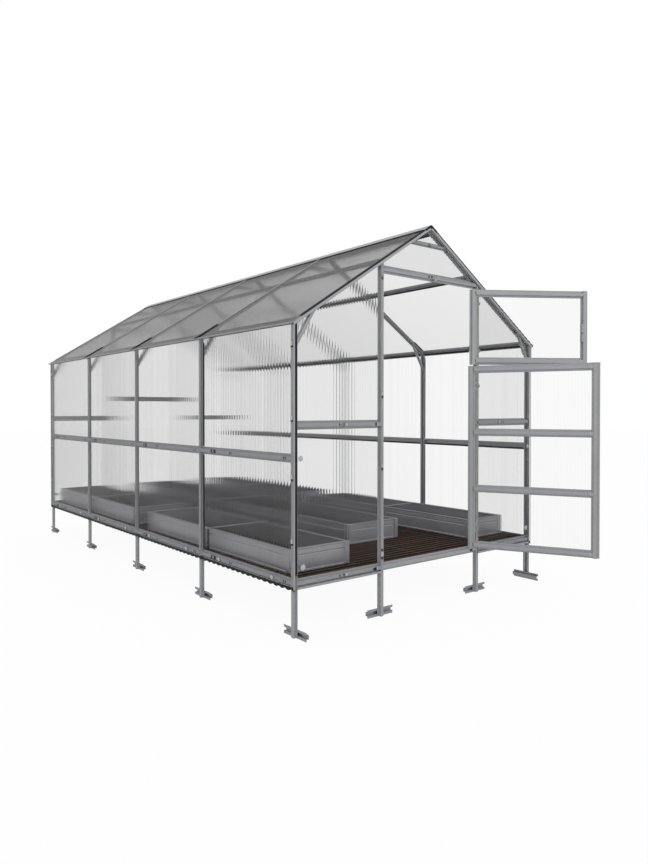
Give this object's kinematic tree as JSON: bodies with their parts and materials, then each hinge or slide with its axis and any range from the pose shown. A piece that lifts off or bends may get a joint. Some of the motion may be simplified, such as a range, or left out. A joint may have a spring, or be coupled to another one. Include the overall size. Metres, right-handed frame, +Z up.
{
  "type": "polycarbonate greenhouse",
  "caption": "Gabled walk-in greenhouse of galvanised hat-profile frames clad in twin-wall polycarbonate, with a stable door, slatted floor and raised beds.",
  "frame": {"origin": "on the ground, in the middle of the footprint of the whole part with its door leaves standing open", "axes": "+Z up, +Y from the door gable to the rear gable, +X towards the hinge side of the door"},
  "size_m": [2.13, 4.833, 2.3394],
  "materials": {
    "frame_steel": "hot-dip galvanised, dull",
    "bed_steel": "galvanised sheet",
    "fittings": "zinc plated",
    "wall_sheet": "clear twin-wall polycarbonate",
    "roof_sheet": "clear twin-wall polycarbonate, grey by shade",
    "timber": "dark stained boards"
  },
  "bodies": {
    "root": {"left_posts": "frame_steel", "right_posts": "frame_steel", "rafters": "frame_steel", "knee_braces": "frame_steel", "apex_ties": "frame_steel", "front_door_posts": "frame_steel", "rear_gable_posts": "frame_steel", "door_lintel": "frame_steel", "rear_top_rail": "frame_steel", "side_base_rails": "frame_steel", "front_base_rails": "frame_steel", "rear_base_rails": "frame_steel", "side_mid_rails": "frame_steel", "front_mid_rails": "frame_steel", "rear_mid_rails": "frame_steel", "eave_rails": "frame_steel", "slope_purlins": "frame_steel", "ridge_purlins": "frame_steel", "ridge_cap": "frame_steel", "ground_anchors": "frame_steel", "left_wall_sheets": "wall_sheet", "right_wall_sheets": "wall_sheet", "left_roof_sheets": "roof_sheet", "right_roof_sheets": "roof_sheet", "front_left_sheet": "wall_sheet", "front_right_sheet": "wall_sheet", "front_top_sheet": "wall_sheet", "rear_wall_sheets": "wall_sheet", "floor_joists": "frame_steel", "floor_deck": "timber", "left_front_bed": "bed_steel", "left_rear_bed": "bed_steel", "middle_bed": "bed_steel", "right_front_bed": "bed_steel", "right_rear_bed": "bed_steel", "hinge_brackets": "fittings"},
    "lower_leaf": {"lower_leaf_stiles": "frame_steel", "lower_leaf_rails": "frame_steel", "lower_leaf_sheet": "wall_sheet", "lower_leaf_hinges": "fittings"},
    "upper_leaf": {"upper_leaf_stiles": "frame_steel", "upper_leaf_rails": "frame_steel", "upper_leaf_sheet": "wall_sheet", "upper_leaf_hinges": "fittings", "upper_leaf_latch": "fittings"}
  },
  "joints": [
    {"name": "lower_leaf_hinge", "type": "hinge", "parent": "root", "child": "lower_leaf", "pos_m": [0.383, -1.71846, 0.8995], "axis": [0, 0, 1], "range_deg": [-116, 49]},
    {"name": "upper_leaf_hinge", "type": "hinge", "parent": "root", "child": "upper_leaf", "pos_m": [0.383, -1.71846, 1.737], "axis": [0, 0, 1], "range_deg": [-147, 18]}
  ]
}
